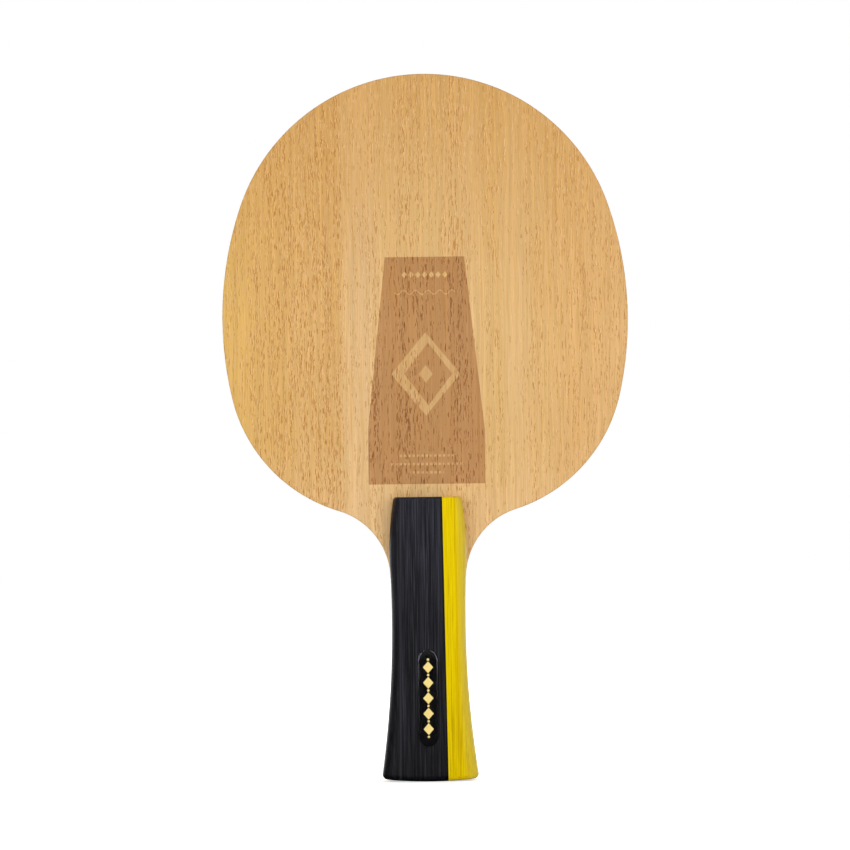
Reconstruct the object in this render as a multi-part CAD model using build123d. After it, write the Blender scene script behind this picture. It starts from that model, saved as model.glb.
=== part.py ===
from build123d import *

from build123d.topology import SkipClean

import os
from math import cos, hypot, radians, sin, sqrt

# A table tennis blade with a flared handle and no rubber sheets: seven glued layers cut to one
# outline, two handle scales glued to the tongue that the layers leave below the head, each scale
# laminated from a black and a yellow strip, and a small domed badge let into the front scale.
#
# Frame, in millimetres: the origin is the centre of the grip. X runs across the face, with the
# front's yellow strip on the +X side. Y runs through the thickness, and the printed front face
# looks towards -Y. Z runs along the handle towards the head's tip.

# ---- driving dimensions ----

# head outline, from the tip down to the handle's top edge
HEAD_LENGTH = 156.5
HEAD_WIDTH = 150.0
WIDEST_BELOW_TIP = 90.4
CROWN_TURN = 71.0           # degrees that the crown arc turns on each side of the tip
CORNER_RADIUS = 57.4        # lower corners of the head
NECK_RADIUS = 26.7          # hollow between the head and the handle
NECK_CENTRE_BELOW_HEAD = 30.4

# handle outline
HANDLE_LENGTH = 105.0
WAIST_WIDTH = 27.3
WAIST_BELOW_HEAD = 45.3
SIDE_RADIUS = 400.0         # hollow of the flared sides
SCALE_TOP_WIDTH = 25.0
SCALE_SHOULDER_RADIUS = 118.0
BUTT_RADIUS = 160.0         # slight bow of the butt end

# layers, from the core outwards
CORE_THICKNESS = 3.3
LAYERS = (
    ("inner_ply", 0.5),
    ("carbon_layer", 0.2),
    ("face_ply", 0.55),
)

# handle scales
SCALE_THICKNESS = 8.6
FLANK_ROUNDING = 5.0
TOP_ROUNDING = 1.0
BUTT_ROUNDING = 2.0
STRIP_JOINT_AT_TOP = 5.4    # joint of the black and yellow strips, off the centre line
STRIP_JOINT_AT_BUTT = 6.6

# badge
BADGE_WIDTH = 7.7
BADGE_LENGTH = 36.0
BADGE_CENTRE_ABOVE_BUTT = 30.8
BADGE_OFFSET = 0.5          # from the centre line towards the black side
BADGE_POCKET_DEPTH = 0.9
BADGE_PLATE_THICKNESS = 0.5
BADGE_DOME_THICKNESS = 0.75
BADGE_DOME_ROUNDING = 0.6
BADGE_CLEARANCE = 0.05
EMBLEM_THICKNESS = 0.12
EMBLEM_SPAN = 28.5
LOZENGE_COUNT = 5
LOZENGE_WIDTH = 3.8
LOZENGE_HEIGHT = 4.4
DOT_RADIUS = 0.45

# ---- places that follow from them ----

HEAD_BASE_Z = HANDLE_LENGTH / 2
BUTT_Z = -HANDLE_LENGTH / 2
TIP_Z = HEAD_BASE_Z + HEAD_LENGTH
BLADE_THICKNESS = CORE_THICKNESS + 2 * sum(thickness for _, thickness in LAYERS)
SCALE_FRONT_Y = -BLADE_THICKNESS / 2 - SCALE_THICKNESS
BADGE_CENTRE_X = -BADGE_OFFSET
BADGE_CENTRE_Z = BUTT_Z + BADGE_CENTRE_ABOVE_BUTT
BADGE_SEAT_Y = SCALE_FRONT_Y + BADGE_POCKET_DEPTH
BADGE_PLATE_TOP_Y = BADGE_SEAT_Y - BADGE_PLATE_THICKNESS


# ---- outlines, drawn as (x, z) on the right-hand side and mirrored ----


def point_on(centre, radius, towards):
    """The point of a circle that lies in the direction of another point."""
    dx, dz = towards[0] - centre[0], towards[1] - centre[1]
    reach = radius / hypot(dx, dz)
    return (centre[0] + dx * reach, centre[1] + dz * reach)


def circles_crossing(centre_a, radius_a, centre_b, radius_b, side):
    """Where two circles cross: side 1 is the point on the left, going from centre a to b."""
    dx, dz = centre_b[0] - centre_a[0], centre_b[1] - centre_a[1]
    apart = hypot(dx, dz)
    along = (apart**2 + radius_a**2 - radius_b**2) / (2 * apart)
    across = side * sqrt(radius_a**2 - along**2)
    return (
        centre_a[0] + (along * dx - across * dz) / apart,
        centre_a[1] + (along * dz + across * dx) / apart,
    )


def arc(centre, radius, start, end):
    """The shorter arc of a circle between two of its points."""
    half_way = ((start[0] + end[0]) / 2, (start[1] + end[1]) / 2)
    return ThreePointArc(start, point_on(centre, radius, half_way), end)


SIDE_CENTRE = (WAIST_WIDTH / 2 + SIDE_RADIUS, HEAD_BASE_Z - WAIST_BELOW_HEAD)
BUTT_CENTRE = (0, BUTT_Z + BUTT_RADIUS)
BUTT_CORNER = circles_crossing(SIDE_CENTRE, SIDE_RADIUS, BUTT_CENTRE, BUTT_RADIUS, 1)
BUTT_MIDDLE = (0, BUTT_Z)


def head_half_outline():
    """Tip to butt: crown, side, lower corner, neck and handle side, each tangent to the next."""
    turn = radians(CROWN_TURN)
    half_width = HEAD_WIDTH / 2
    share = sin(turn) + cos(turn) - 1
    crown_radius = (half_width * cos(turn) - WIDEST_BELOW_TIP * (1 - sin(turn))) / share
    side_radius = (WIDEST_BELOW_TIP * sin(turn) - half_width * (1 - cos(turn))) / share
    widest_z = TIP_Z - WIDEST_BELOW_TIP
    crown_centre = (0, TIP_Z - crown_radius)
    side_centre = (half_width - side_radius, widest_z)

    neck_z = HEAD_BASE_Z - NECK_CENTRE_BELOW_HEAD
    neck_reach = sqrt((SIDE_RADIUS - NECK_RADIUS) ** 2 - (neck_z - SIDE_CENTRE[1]) ** 2)
    neck_centre = (SIDE_CENTRE[0] - neck_reach, neck_z)
    corner_centre = circles_crossing(
        side_centre, side_radius - CORNER_RADIUS, neck_centre, CORNER_RADIUS + NECK_RADIUS, 1
    )

    tip = (0, TIP_Z)
    crown_end = (crown_radius * sin(turn), crown_centre[1] + crown_radius * cos(turn))
    side_end = point_on(side_centre, side_radius, corner_centre)
    corner_end = point_on(corner_centre, CORNER_RADIUS, neck_centre)
    away = (2 * neck_centre[0] - SIDE_CENTRE[0], 2 * neck_centre[1] - SIDE_CENTRE[1])
    neck_end = point_on(neck_centre, NECK_RADIUS, away)
    return [
        arc(crown_centre, crown_radius, tip, crown_end),
        arc(side_centre, side_radius, crown_end, side_end),
        arc(corner_centre, CORNER_RADIUS, side_end, corner_end),
        arc(neck_centre, NECK_RADIUS, corner_end, neck_end),
        arc(SIDE_CENTRE, SIDE_RADIUS, neck_end, BUTT_CORNER),
        arc(BUTT_CENTRE, BUTT_RADIUS, BUTT_CORNER, BUTT_MIDDLE),
    ]


def scale_half_outline():
    """Top edge to butt: the straight top, the shoulder that widens, and the flared side."""
    top_corner = (SCALE_TOP_WIDTH / 2, HEAD_BASE_Z)
    shoulder_centre = circles_crossing(
        SIDE_CENTRE, SIDE_RADIUS + SCALE_SHOULDER_RADIUS, top_corner, SCALE_SHOULDER_RADIUS, 1
    )
    shoulder_end = point_on(shoulder_centre, SCALE_SHOULDER_RADIUS, SIDE_CENTRE)
    return [
        Line((0, HEAD_BASE_Z), top_corner),
        arc(shoulder_centre, SCALE_SHOULDER_RADIUS, top_corner, shoulder_end),
        arc(SIDE_CENTRE, SIDE_RADIUS, shoulder_end, BUTT_CORNER),
        arc(BUTT_CENTRE, BUTT_RADIUS, BUTT_CORNER, BUTT_MIDDLE),
    ]


def outline_face(half_outline):
    """The closed face of a half outline and its mirror image."""
    mirrored = [mirror(edge, Plane.YZ) for edge in half_outline]
    return make_face(half_outline + mirrored)


def slab(face, back_y, front_y):
    """A face drawn in (x, z), thickened from back_y forwards to front_y."""
    return extrude(Plane.XZ.offset(-back_y) * face, back_y - front_y, dir=(0, -1, 0))


# ---- blade layers ----


def blade_layers():
    """Every layer by node name. Each has the butt corners rounded like the scales'."""
    outline = outline_face(head_half_outline())
    butt_corners = [v for v in outline.vertices() if abs(abs(v.X) - BUTT_CORNER[0]) < 1e-6]
    outline = fillet(butt_corners, BUTT_ROUNDING)

    outer_y = CORE_THICKNESS / 2
    nodes = {"core_ply": slab(outline, outer_y, -outer_y)}
    for name, thickness in LAYERS:
        layer = slab(outline, -outer_y, -outer_y - thickness)
        if name == "face_ply":
            layer = with_handle_line(layer)
        nodes["front_" + name] = layer
        nodes["back_" + name] = mirror(layer, Plane.XZ)
        outer_y += thickness
    return nodes


def with_handle_line(ply):
    """A face ply whose open face ends where the handle starts, so that each is a face of its own."""
    line = Plane((0, 0, HEAD_BASE_Z))
    with SkipClean():
        head, tongue = split(ply, line, Keep.TOP), split(ply, line, Keep.BOTTOM)
        return head + tongue


# ---- handle scales ----


def handle_scale():
    """The front scale before it is cut into strips: its outline, then the rounded edges."""
    scale = slab(outline_face(scale_half_outline()), -BLADE_THICKNESS / 2, SCALE_FRONT_Y)
    front = scale.faces().sort_by(Axis.Y)[0]
    flanks = [edge for edge in front.edges() if abs(edge.tangent_at(0.5).Z) > 0.9]
    scale = fillet(flanks, FLANK_ROUNDING)
    scale = fillet(open_edges(scale.faces().sort_by(Axis.Z)[-1]), TOP_ROUNDING)
    return fillet(open_edges(scale.faces().sort_by(Axis.Z)[0]), BUTT_ROUNDING)


def open_edges(end_face):
    """The edges of a scale's end that don't lie on the blade."""
    glue_y = -BLADE_THICKNESS / 2
    return [e for e in end_face.edges() if e.center().Y < glue_y - 1e-6]


def strips(scale):
    """The scale's black and yellow strips, cut along the slanted joint."""
    rise = HEAD_BASE_Z - BUTT_Z
    run = STRIP_JOINT_AT_TOP - STRIP_JOINT_AT_BUTT
    middle = ((STRIP_JOINT_AT_TOP + STRIP_JOINT_AT_BUTT) / 2, 0, 0)
    joint = Plane(middle, x_dir=(0, 1, 0), z_dir=(rise, 0, -run))
    return split(scale, joint, Keep.BOTTOM), split(scale, joint, Keep.TOP)


# ---- badge ----


def badge_outline(shrink=0.0):
    """The badge's round-ended outline, drawn in (x, z)."""
    width = BADGE_WIDTH - 2 * shrink
    length = BADGE_LENGTH - 2 * shrink
    return Pos(BADGE_CENTRE_X, BADGE_CENTRE_Z) * SlotOverall(length, width, rotation=90)


def badge_pocket():
    """What the badge's seat takes out of the scale."""
    return slab(badge_outline(), BADGE_SEAT_Y, SCALE_FRONT_Y - 1)


def emblem():
    """A column of lozenges with a dot between each pair and at each end."""
    pitch = EMBLEM_SPAN / LOZENGE_COUNT
    marks = []
    for i in range(LOZENGE_COUNT):
        z = BADGE_CENTRE_Z + (i - (LOZENGE_COUNT - 1) / 2) * pitch
        half_width, half_height = LOZENGE_WIDTH / 2, LOZENGE_HEIGHT / 2
        corners = [(0, half_height), (half_width, 0), (0, -half_height), (-half_width, 0)]
        marks.append(Pos(BADGE_CENTRE_X, z) * Polygon(*corners))
    for i in range(LOZENGE_COUNT + 1):
        z = BADGE_CENTRE_Z + (i - LOZENGE_COUNT / 2) * pitch
        marks.append(Pos(BADGE_CENTRE_X, z) * Circle(DOT_RADIUS))
    top_y = BADGE_PLATE_TOP_Y - EMBLEM_THICKNESS
    return [slab(mark, BADGE_PLATE_TOP_Y, top_y) for mark in marks]


def badge():
    """The badge by node name: its plate, the emblem on it, and the clear dome over both."""
    outline = badge_outline(BADGE_CLEARANCE)
    plate = slab(outline, BADGE_SEAT_Y, BADGE_PLATE_TOP_Y)
    dome = slab(outline, BADGE_PLATE_TOP_Y, BADGE_PLATE_TOP_Y - BADGE_DOME_THICKNESS)
    dome = fillet(dome.faces().sort_by(Axis.Y)[0].edges(), BADGE_DOME_ROUNDING)
    marks = emblem()
    for mark in marks:
        dome -= mark
    return {"badge_plate": plate, "badge_emblem": Compound(marks), "badge_dome": dome}


# ---- assembly ----


def paddle():
    """Every node by name."""
    nodes = blade_layers()
    black, yellow = strips(handle_scale())
    nodes["front_black_strip"] = black - badge_pocket()
    nodes["front_yellow_strip"] = yellow
    nodes["back_black_strip"] = black.rotate(Axis.Z, 180)
    nodes["back_yellow_strip"] = yellow.rotate(Axis.Z, 180)
    nodes.update(badge())
    return nodes


os.makedirs("parts", exist_ok=True)
for name, shape in paddle().items():
    export_step(shape, f"parts/{name}.step")
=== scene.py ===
import math

import bmesh
import bpy
import numpy as np
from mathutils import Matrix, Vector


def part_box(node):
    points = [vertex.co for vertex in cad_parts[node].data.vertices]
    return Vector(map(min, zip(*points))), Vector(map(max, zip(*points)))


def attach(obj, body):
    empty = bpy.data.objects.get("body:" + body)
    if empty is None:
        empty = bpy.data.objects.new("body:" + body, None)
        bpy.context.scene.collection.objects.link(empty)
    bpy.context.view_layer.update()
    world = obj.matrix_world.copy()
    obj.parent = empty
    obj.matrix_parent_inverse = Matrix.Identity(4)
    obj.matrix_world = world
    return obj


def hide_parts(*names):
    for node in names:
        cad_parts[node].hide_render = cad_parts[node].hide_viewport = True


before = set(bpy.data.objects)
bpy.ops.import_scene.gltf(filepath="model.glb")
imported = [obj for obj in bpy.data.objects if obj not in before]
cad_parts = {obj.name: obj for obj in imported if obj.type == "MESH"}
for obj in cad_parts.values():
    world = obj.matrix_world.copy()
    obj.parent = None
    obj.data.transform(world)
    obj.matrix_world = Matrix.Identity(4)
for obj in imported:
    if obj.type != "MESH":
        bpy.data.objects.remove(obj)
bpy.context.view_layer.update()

# ==== Blade: core and inner layers =========================================================
# The blade is a plywood of seven layers, glued under a press and sawn to one outline, whose
# rim is then sanded. A light kiri core lies between two ayous plies with their grain across
# the blade, and a sheet of carbon cloth on each. Only their sawn edges show.

MM = 0.001

blade_low, blade_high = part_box("core_ply")
handle_low, handle_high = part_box("front_black_strip")
TIP_Z = blade_high[2]
BUTT_Z = blade_low[2]
HEAD_BASE_Z = handle_high[2]
HALF_HEAD = blade_high[0]

WIDEST_BELOW_TIP = 90.4 * MM
CROWN_TURN = math.radians(71)
CORNER_RADIUS = 57.4 * MM
NECK_RADIUS = 26.7 * MM
NECK_CENTRE_Z = HEAD_BASE_Z - 30.4 * MM
HALF_WAIST = 13.65 * MM
WAIST_Z = HEAD_BASE_Z - 45.3 * MM
SIDE_RADIUS = 400 * MM
BUTT_RADIUS = 160 * MM
BUTT_ROUNDING = 2 * MM
OUTLINE_STEP = 0.8 * MM
SAWN_EDGE_EASE = 0.05 * MM
CARBON_RECESS = 0.04 * MM
CRISP_TURN = math.radians(35)

SIDE_CENTRE = np.array([HALF_WAIST + SIDE_RADIUS, WAIST_Z])
BUTT_CENTRE = np.array([0, BUTT_Z + BUTT_RADIUS])


def crossing(centre_a, radius_a, centre_b, radius_b):
    """One of the two points where two circles cross: along the line of centres, then square to it."""
    line = centre_b - centre_a
    apart = np.hypot(*line)
    along = (apart**2 + radius_a**2 - radius_b**2) / (2 * apart)
    across = math.sqrt(radius_a**2 - along**2)
    square = np.array([-line[1], line[0]])
    return centre_a + (along * line + across * square) / apart


def touching(circle_a, circle_b):
    """The point where two tangent circles touch: on the line of centres, at the larger one's radius."""
    small, large = sorted((circle_a, circle_b), key=lambda circle: circle[1])
    line = small[0] - large[0]
    return large[0] + large[1] * line / np.hypot(*line)


def arc_chain(circles, start, end):
    """Points (x, z) along tangent circles (centre, radius) in turn, evenly spaced on each, and the
    way out of the outline at each point, which is the tangent turned a quarter."""
    stops = [start, *(touching(a, b) for a, b in zip(circles, circles[1:])), end]
    runs = []
    for (centre, radius), first, last in zip(circles, stops, stops[1:]):
        begin, finish = (math.atan2(*(stop - centre)[::-1]) for stop in (first, last))
        sweep = (finish - begin + math.pi) % (2 * math.pi) - math.pi
        count = max(6, int(abs(sweep) * radius / OUTLINE_STEP))
        angles = begin + sweep * np.arange(count) / count
        runs.append(centre + radius * np.stack([np.cos(angles), np.sin(angles)], axis=1))
    points = np.concatenate([*runs, end[None]])
    tangent = np.gradient(points, axis=0)
    outward = np.stack([-tangent[:, 1], tangent[:, 0]], axis=1)
    return points, outward / np.hypot(*outward.T)[:, None]


def mirrored_loop(points, outward):
    """The whole loop from its right half: the half run again backwards with x turned over."""
    flip = np.array([-1, 1])
    return (
        np.concatenate([points, points[-2:0:-1] * flip]),
        np.concatenate([outward, outward[-2:0:-1] * flip]),
    )


def blade_outline():
    """Crown, head side, lower corner, neck, handle side, butt corner and butt, as tangent arcs."""
    share = math.sin(CROWN_TURN) + math.cos(CROWN_TURN) - 1
    rise, turn_in = 1 - math.sin(CROWN_TURN), 1 - math.cos(CROWN_TURN)
    crown_radius = (HALF_HEAD * (1 - turn_in) - WIDEST_BELOW_TIP * rise) / share
    head_radius = (WIDEST_BELOW_TIP * (1 - rise) - HALF_HEAD * turn_in) / share
    head_centre = np.array([HALF_HEAD - head_radius, TIP_Z - WIDEST_BELOW_TIP])
    neck_reach = math.sqrt((SIDE_RADIUS - NECK_RADIUS) ** 2 - (NECK_CENTRE_Z - WAIST_Z) ** 2)
    neck_centre = np.array([SIDE_CENTRE[0] - neck_reach, NECK_CENTRE_Z])
    corner_centre = crossing(
        head_centre, head_radius - CORNER_RADIUS, neck_centre, CORNER_RADIUS + NECK_RADIUS
    )
    butt_corner_centre = crossing(
        SIDE_CENTRE, SIDE_RADIUS + BUTT_ROUNDING, BUTT_CENTRE, BUTT_RADIUS - BUTT_ROUNDING
    )
    circles = [
        (np.array([0, TIP_Z - crown_radius]), crown_radius),
        (head_centre, head_radius),
        (corner_centre, CORNER_RADIUS),
        (neck_centre, NECK_RADIUS),
        (SIDE_CENTRE, SIDE_RADIUS),
        (butt_corner_centre, BUTT_ROUNDING),
        (BUTT_CENTRE, BUTT_RADIUS),
    ]
    half = arc_chain(circles, np.array([0, TIP_Z]), np.array([0, BUTT_Z]))
    outward = half[1]
    outward[0] = (0, 1)
    outward[-1] = (0, -1)
    return mirrored_loop(half[0], outward)


def surface(name, grids, wrap_rows=False, wrap_columns=False):
    """A mesh object from grids of points (rows, columns, 3). Each cell is a quad, doubles at seams
    and poles are merged, faces turned outwards, and only edges that turn by more than CRISP_TURN
    stay crisp."""
    points, quads, start = [], [], 0
    for grid in grids:
        index = start + np.arange(grid.shape[0] * grid.shape[1]).reshape(grid.shape[:2])
        start += index.size
        if wrap_rows:
            index = np.concatenate([index, index[:1]])
        if wrap_columns:
            index = np.concatenate([index, index[:, :1]], axis=1)
        cells = (index[:-1, :-1], index[1:, :-1], index[1:, 1:], index[:-1, 1:])
        quads.append(np.stack(cells, axis=-1).reshape(-1, 4))
        points.append(grid.reshape(-1, 3))
    mesh = bpy.data.meshes.new(name)
    mesh.from_pydata(np.concatenate(points), [], np.concatenate(quads))
    work = bmesh.new()
    work.from_mesh(mesh)
    bmesh.ops.remove_doubles(work, verts=work.verts, dist=1e-7)
    bmesh.ops.recalc_face_normals(work, faces=work.faces)
    work.to_mesh(mesh)
    work.free()
    mesh.shade_smooth()
    mesh.set_sharp_from_angle(angle=CRISP_TURN)
    piece = bpy.data.objects.new(name, mesh)
    bpy.context.collection.objects.link(piece)
    return piece


def slab(name, loop, columns):
    """A flat piece with a worked rim. Each column (inset, pull, y) is the loop moved inwards by
    inset, drawn towards its upright middle line by the share pull, and set at depth y."""
    points, outward = loop
    inset, pull, depth = (column[None, :] for column in np.array(columns, float).T)
    middle = (points[:, 0].min() + points[:, 0].max()) / 2
    x = middle + (points[:, :1] - inset * outward[:, :1] - middle) * (1 - pull)
    z = points[:, 1:] - inset * outward[:, 1:]
    grid = np.stack([x, np.broadcast_to(depth, x.shape), z], axis=-1)
    return surface(name, [grid], wrap_rows=True)


def ply_columns(back_y, front_y, back_ease, front_ease, recess=0.0):
    """A layer's section from the middle of its front to the middle of its back: flat, a quarter
    round of radius ease at each edge of the rim, flat again."""

    def half_section(face_y, ease, inwards):
        """From the middle of one face out to its rim: a quarter circle after the flat."""
        flat = recess + 3 * ease
        return [(flat, 1, face_y), (flat, 0, face_y)] + [
            (recess + ease * (1 - math.sin(turn)), 0,
             face_y + inwards * ease * (1 - math.cos(turn)))
            for turn in np.linspace(0, math.pi / 2, 6)
        ]

    return half_section(front_y, front_ease, 1) + half_section(back_y, back_ease, -1)[::-1]


def linear(colour):
    """An sRGB hex colour such as c08040 as linear red, green, blue and alpha 1."""
    channels = np.array([int(colour[i : i + 2], 16) for i in (0, 2, 4)]) / 255
    low, high = channels / 12.92, ((channels + 0.055) / 1.055) ** 2.4
    return (*np.where(channels <= 0.04045, low, high), 1.0)


def add(tree, kind, inputs=None, **options):
    """Adds a node to the tree. Options are the node's own settings. Inputs are given by socket
    name or number, as a plain value, a node (its first output in use) or a node's output."""
    node = tree.nodes.new(kind)
    for name, value in options.items():
        setattr(node, name, value)
    for key, value in (inputs or {}).items():
        if isinstance(key, int):
            socket = node.inputs[key]
        else:
            socket = next(s for s in node.inputs if s.enabled and s.name == key)
        if isinstance(value, bpy.types.Node):
            value = next(s for s in value.outputs if s.enabled)
        if isinstance(value, bpy.types.NodeSocket):
            tree.links.new(value, socket)
        else:
            socket.default_value = value
    return node


def new_material(name):
    """A material with no nodes yet, and its node tree."""
    material = bpy.data.materials.new(name)
    material.use_nodes = True
    material.node_tree.nodes.clear()
    return material, material.node_tree


def stretched(tree, width, depth, length):
    """Object coordinates counted in cells of width by depth by length millimetres along X, Y, Z."""
    place = add(tree, "ShaderNodeTexCoord").outputs["Object"]
    cells = [1 / (size * MM) for size in (width, depth, length)]
    return add(tree, "ShaderNodeVectorMath", {0: place, 1: cells}, operation="MULTIPLY")


def sawn_wood(name, light, dark, grain_mm, roughness):
    """Wood cut square and sanded: fibres of grain_mm (across, through, along) in two tones, over
    slow bands five times as wide, with the open fibre ends as a faint bump. Real fibres are too
    fine to show, so they are drawn about ten times as coarse."""
    material, tree = new_material(name)
    fibres = add(tree, "ShaderNodeTexNoise",
                 {"Vector": stretched(tree, *grain_mm), "Detail": 4.0, "Roughness": 0.65})
    slow_mm = [5 * size for size in grain_mm]
    bands = add(tree, "ShaderNodeTexNoise",
                {"Vector": stretched(tree, *slow_mm), "Detail": 2.0})
    both = add(tree, "ShaderNodeMath", {0: fibres, 1: bands}, operation="ADD")
    share = add(tree, "ShaderNodeMapRange", {"Value": both, "From Min": 0.75, "From Max": 1.25})
    tone = add(tree, "ShaderNodeMix",
               {"Factor": share, "A": linear(dark), "B": linear(light)}, data_type="RGBA")
    relief = add(tree, "ShaderNodeBump",
                 {"Strength": 0.4, "Distance": 0.05 * MM, "Height": fibres})
    shader = add(tree, "ShaderNodeBsdfPrincipled",
                 {"Base Color": tone, "Roughness": roughness, "Normal": relief})
    add(tree, "ShaderNodeOutputMaterial", {"Surface": shader})
    return material


def stand_in(piece, node, material):
    """Gives a piece its material, and lets it ride on the body in place of its CAD node."""
    piece.data.materials.clear()
    piece.data.materials.append(material)
    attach(piece, "root")
    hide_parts(node)


def layer(node, material, back_ease, front_ease, recess=0.0):
    """Makes the layer that stands for a CAD node, on the blade's outline and the node's depths."""
    low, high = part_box(node)
    columns = ply_columns(high[1], low[1], back_ease, front_ease, recess)
    piece = slab(node.replace("_", "-"), blade_outline(), columns)
    stand_in(piece, node, material)


# kiri: pale, very light and soft, sanded across its fibres, so matt and a little furry
kiri = sawn_wood("sawn kiri core", "ead4ad", "cfae7c", (0.35, 0.35, 9.0), 0.78)
layer("core_ply", kiri, SAWN_EDGE_EASE, SAWN_EDGE_EASE)

# ayous: straw coloured and plain, laid with its grain across the blade
ayous = sawn_wood("sawn ayous crossply", "d0a971", "a47a48", (7.0, 0.3, 0.3), 0.75)
layer("front_inner_ply", ayous, SAWN_EDGE_EASE, SAWN_EDGE_EASE)
layer("back_inner_ply", ayous, SAWN_EDGE_EASE, SAWN_EDGE_EASE)


def carbon_cloth():
    """Carbon cloth cut through: black bundles 1.5 mm wide that cross, each catching light in turn,
    set in hard clear glue, which gives the thin dark line a dull shine. The strands are drawn
    coarser than real ones, which are finer than a hair."""
    material, tree = new_material("cut carbon cloth in epoxy")
    weave = add(tree, "ShaderNodeTexChecker",
                {"Vector": stretched(tree, 1.5, 1.5, 1.5), "Scale": 1.0,
                 "Color1": linear("17181a"), "Color2": linear("34363a")})
    strands = add(tree, "ShaderNodeTexNoise",
                  {"Vector": stretched(tree, 0.2, 0.1, 0.2), "Detail": 3.0})
    shade = add(tree, "ShaderNodeMapRange", {"Value": strands, "To Min": 0.25, "To Max": 0.45})
    shader = add(tree, "ShaderNodeBsdfPrincipled",
                 {"Base Color": weave.outputs["Color"], "Roughness": shade})
    add(tree, "ShaderNodeOutputMaterial", {"Surface": shader})
    return material


carbon = carbon_cloth()
layer("front_carbon_layer", carbon, SAWN_EDGE_EASE, SAWN_EDGE_EASE, CARBON_RECESS)
layer("back_carbon_layer", carbon, SAWN_EDGE_EASE, SAWN_EDGE_EASE, CARBON_RECESS)

# ==== Blade: face plies ====================================================================
# Each outer layer is a koto veneer 0.55 mm thick, sliced so that its straight grain runs up the
# blade and its pores show as short brown dashes. It is sanded, wiped with a thin satin
# lacquer, and its rim is broken with fine paper. The front one carries a printed panel.

FACE_RIM_EASE = 0.5 * MM
# the two eases fill a face ply's thickness, and this much more on the front one's back edge keeps
# the rings of points where they meet from being merged
RING_PARTING = 0.0001 * MM


def share_between(tree, value, start, end, smooth=False):
    """0 where value is start, 1 where it is end, clamped outside."""
    kind = "SMOOTHSTEP" if smooth else "LINEAR"
    return add(tree, "ShaderNodeMapRange",
               {"Value": value, "From Min": start, "From Max": end}, interpolation_type=kind)


def all_of(tree, masks):
    """The product of masks and numbers."""
    result = masks[0]
    for mask in masks[1:]:
        result = add(tree, "ShaderNodeMath", {0: result, 1: mask}, operation="MULTIPLY")
    return result


def any_of(tree, masks):
    """The largest of several masks."""
    result = masks[0]
    for mask in masks[1:]:
        result = add(tree, "ShaderNodeMath", {0: result, 1: mask}, operation="MAXIMUM")
    return result


def pore_dashes(tree, across, along, cell_mm, dash_mm, density, lean):
    """Pores scattered one to a cell, as a dark dash and, beside it, a pale dash that is a painted
    highlight on the pore's lit edge. Each is an ellipse of dash_mm about the cell's own point,
    sheared by lean cells across to one along, and there where the cell's random number is below
    density."""
    place = add(tree, "ShaderNodeCombineXYZ",
                {"X": all_of(tree, [across, 1 / cell_mm[0]]),
                 "Y": all_of(tree, [along, 1 / cell_mm[1]])})
    cell = add(tree, "ShaderNodeTexVoronoi", {"Vector": place, "Scale": 1.0},
               voronoi_dimensions="2D")
    offset = add(tree, "ShaderNodeVectorMath", {0: place, 1: cell.outputs["Position"]},
                 operation="SUBTRACT")
    parts = add(tree, "ShaderNodeSeparateXYZ", {"Vector": offset})
    chance = add(tree, "ShaderNodeSeparateColor", {"Color": cell.outputs["Color"]})
    size = add(tree, "ShaderNodeMath",
               {0: chance.outputs["Blue"], 1: 0.9, 2: 0.55}, operation="MULTIPLY_ADD")
    there = add(tree, "ShaderNodeMath", {0: chance.outputs["Green"], 1: density},
                operation="LESS_THAN")
    slid = add(tree, "ShaderNodeMath",
               {0: parts.outputs["Y"], 1: lean, 2: parts.outputs["X"]}, operation="MULTIPLY_ADD")
    marks = []
    for aside in (0.0, 1.0):
        moved = add(tree, "ShaderNodeMath", {0: slid, 1: aside * dash_mm[0] / cell_mm[0]},
                    operation="SUBTRACT")
        ellipse = add(tree, "ShaderNodeCombineXYZ",
                      {"X": all_of(tree, [moved, 2 * cell_mm[0] / dash_mm[0]]),
                       "Y": all_of(tree, [parts.outputs["Y"], 2 * cell_mm[1] / dash_mm[1]])})
        reach = add(tree, "ShaderNodeVectorMath", {0: ellipse}, operation="LENGTH")
        relative = add(tree, "ShaderNodeMath", {0: reach.outputs["Value"], 1: size},
                       operation="DIVIDE")
        dash = share_between(tree, relative, 1.15, 0.45, smooth=True)
        marks.append(all_of(tree, [dash, there]))
    return marks


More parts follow.
